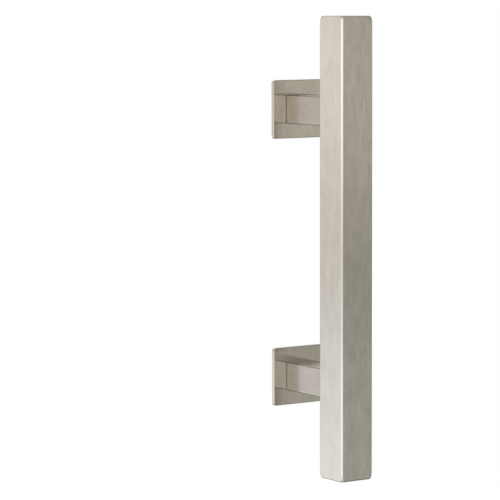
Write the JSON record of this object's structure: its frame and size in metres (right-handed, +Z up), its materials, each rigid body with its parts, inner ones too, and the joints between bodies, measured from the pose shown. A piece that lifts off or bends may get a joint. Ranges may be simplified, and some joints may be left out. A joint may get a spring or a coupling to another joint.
{
  "type": "ladder barn door pull",
  "caption": "Square brushed stainless grip bar held off the door by square posts on square base plates, bolted on from behind through the door.",
  "frame": {"origin": "on the door's face, midway between the two door bolts", "axes": "+Z up along the grip bar, +Y into the door, +X to the right of someone who faces the pull"},
  "size_m": [0.0384, 0.0695, 0.3],
  "materials": {
    "brushed_stainless": "brushed",
    "stud_steel": "plain"
  },
  "bodies": {
    "root": {"grip_bar": "brushed_stainless", "upper_post": "brushed_stainless", "lower_post": "brushed_stainless", "upper_base_plate": "brushed_stainless", "lower_base_plate": "brushed_stainless", "upper_joining_stud": "stud_steel", "lower_joining_stud": "stud_steel"}
  },
  "joints": []
}
